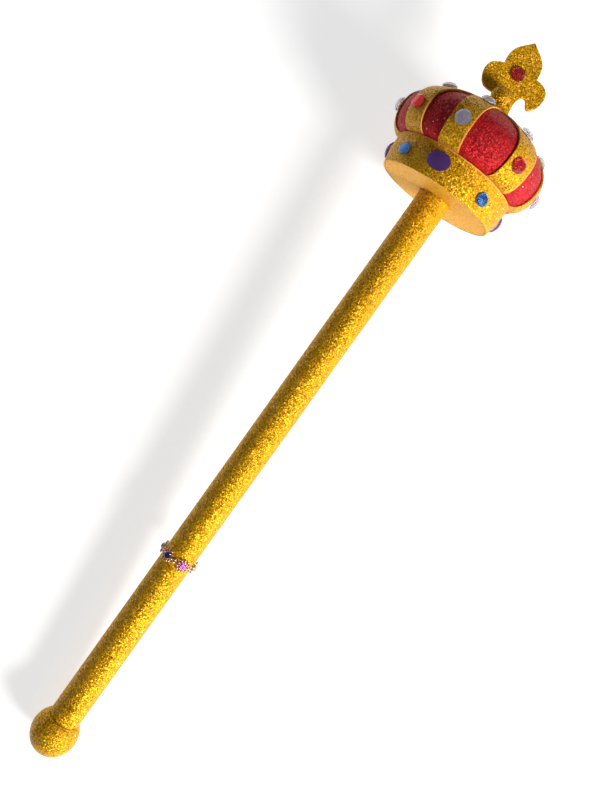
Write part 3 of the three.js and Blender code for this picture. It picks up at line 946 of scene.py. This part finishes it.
class SceptreSizes(bpy.types.PropertyGroup):
    rod_radius: bpy.props.FloatProperty(name="Rod radius", description="Radius of the rod",
                                        default=ROD_R, unit="LENGTH")
    sheet_thickness: bpy.props.FloatProperty(name="Sheet thickness",
                                             description="Thickness of the glittered sheet",
                                             default=SHEET, unit="LENGTH")
    grain: bpy.props.FloatProperty(name="Grain", description="Distance between grains of glitter",
                                   default=GRAIN, unit="LENGTH", precision=5)
    grain_depth: bpy.props.FloatProperty(name="Grain depth",
                                         description="Height of the glitter's roughness",
                                         default=GRAIN_DEPTH, unit="LENGTH", precision=5)


class SceptreColours(bpy.types.PropertyGroup):
    gold: colour_property("Gold", "Brightest flakes of the gold glitter", (1.0, 0.56, 0.006))
    gold_deep: colour_property("Deep gold", "Deeper flakes", (0.66, 0.29, 0.004))
    # The dark gold is painted shade: it colours flakes as if they were turned away from the light.
    gold_painted_shade: colour_property("Dark gold", "Flakes sunk in dark glue", (0.10, 0.035, 0.002))
    orange_gold: colour_property("Orange gold", "Underside of the crown", (0.98, 0.50, 0.03))
    red: colour_property("Red", "Red glitter of the dome", (0.70, 0.014, 0.022))
    foam: colour_property("Cut edge", "Cut edges of the sheet", (0.95, 0.42, 0.06))
    rose_gold: colour_property("Rose gold", "Metal of the flower band", (1.0, 0.66, 0.5))
    clear_stone: colour_property("Clear stone", "Shoulder stones", (0.93, 0.95, 0.97))
    lavender_stone: colour_property("Lavender stone", "Pale strip stones", (0.90, 0.78, 0.98))
    red_stone: colour_property("Red stone", "Red strip stones", (0.98, 0.05, 0.05))
    blue_stone: colour_property("Blue stone", "Round band stones", (0.08, 0.26, 0.68))
    purple_stone: colour_property("Purple stone", "Oval band stones", (0.27, 0.10, 0.55))
    navy_stone: colour_property("Navy stone", "Ring stones", (0.05, 0.06, 0.35))
    violet_stone: colour_property("Violet stone", "Ring stone", (0.5, 0.1, 0.75))
    champagne_stone: colour_property("Champagne stone", "Ring stone", (0.95, 0.8, 0.5))
    floor: colour_property("Floor", "The pale floor", (0.58, 0.58, 0.58))


class MakeRod(bpy.types.Operator):
    """Make the rod and its pommel"""
    bl_idname = "sceptre.make_rod"
    bl_label = "Rod and pommel"

    def execute(self, context):
        make_rod(context.scene.sceptre_sizes)
        make_pommel(context.scene.sceptre_sizes)
        return {"FINISHED"}


class MakeRing(bpy.types.Operator):
    """Make the flower band and its stones"""
    bl_idname = "sceptre.make_ring"
    bl_label = "Flower band"

    def execute(self, context):
        make_ring()
        return {"FINISHED"}


class MakeBand(bpy.types.Operator):
    """Make the crown's underside and its band"""
    bl_idname = "sceptre.make_band"
    bl_label = "Underside and band"

    def execute(self, context):
        make_underside(context.scene.sceptre_sizes)
        make_band(context.scene.sceptre_sizes)
        return {"FINISHED"}


class MakeDome(bpy.types.Operator):
    """Make the red dome and the strips over it"""
    bl_idname = "sceptre.make_dome"
    bl_label = "Dome and strips"

    def execute(self, context):
        make_cap(context.scene.sceptre_sizes)
        make_strips(context.scene.sceptre_sizes)
        return {"FINISHED"}


class MakeStones(bpy.types.Operator):
    """Make the crown's stones"""
    bl_idname = "sceptre.make_stones"
    bl_label = "Crown stones"

    def execute(self, context):
        make_crown_stones()
        return {"FINISHED"}


class MakeFinial(bpy.types.Operator):
    """Make the ball and the fleur-de-lis plate"""
    bl_idname = "sceptre.make_finial"
    bl_label = "Finial"

    def execute(self, context):
        make_finial(context.scene.sceptre_sizes)
        make_fleur()
        return {"FINISHED"}


class MakeStage(bpy.types.Operator):
    """Make the floor, the lamp and the camera"""
    bl_idname = "sceptre.make_stage"
    bl_label = "Stage"

    def execute(self, context):
        make_stage()
        return {"FINISHED"}


OPERATORS = (MakeRod, MakeRing, MakeBand, MakeDome, MakeStones, MakeFinial, MakeStage)


class SceptrePanel(bpy.types.Panel):
    """A button for each group of pieces, and the sizes and colours"""
    bl_idname = "VIEW3D_PT_sceptre"
    bl_label = "Sceptre"
    bl_space_type = "VIEW_3D"
    bl_region_type = "UI"
    bl_category = "Sceptre"

    def draw(self, context):
        for operator in OPERATORS:
            self.layout.operator(operator.bl_idname)
        for settings in (context.scene.sceptre_sizes, context.scene.sceptre_colours):
            for key in settings.__annotations__:
                self.layout.prop(settings, key)


CLASSES = (SceptreSizes, SceptreColours, *OPERATORS, SceptrePanel)


def register():
    for cls in CLASSES:
        bpy.utils.register_class(cls)
    bpy.types.Scene.sceptre_sizes = bpy.props.PointerProperty(type=SceptreSizes)
    bpy.types.Scene.sceptre_colours = bpy.props.PointerProperty(type=SceptreColours)


def unregister():
    del bpy.types.Scene.sceptre_colours
    del bpy.types.Scene.sceptre_sizes
    for cls in reversed(CLASSES):
        bpy.utils.unregister_class(cls)


def main():
    """Make everything."""
    register()
    for operator in OPERATORS:
        group, name = operator.bl_idname.split(".")
        getattr(getattr(bpy.ops, group), name)()


if __name__ == "__main__":
    main()
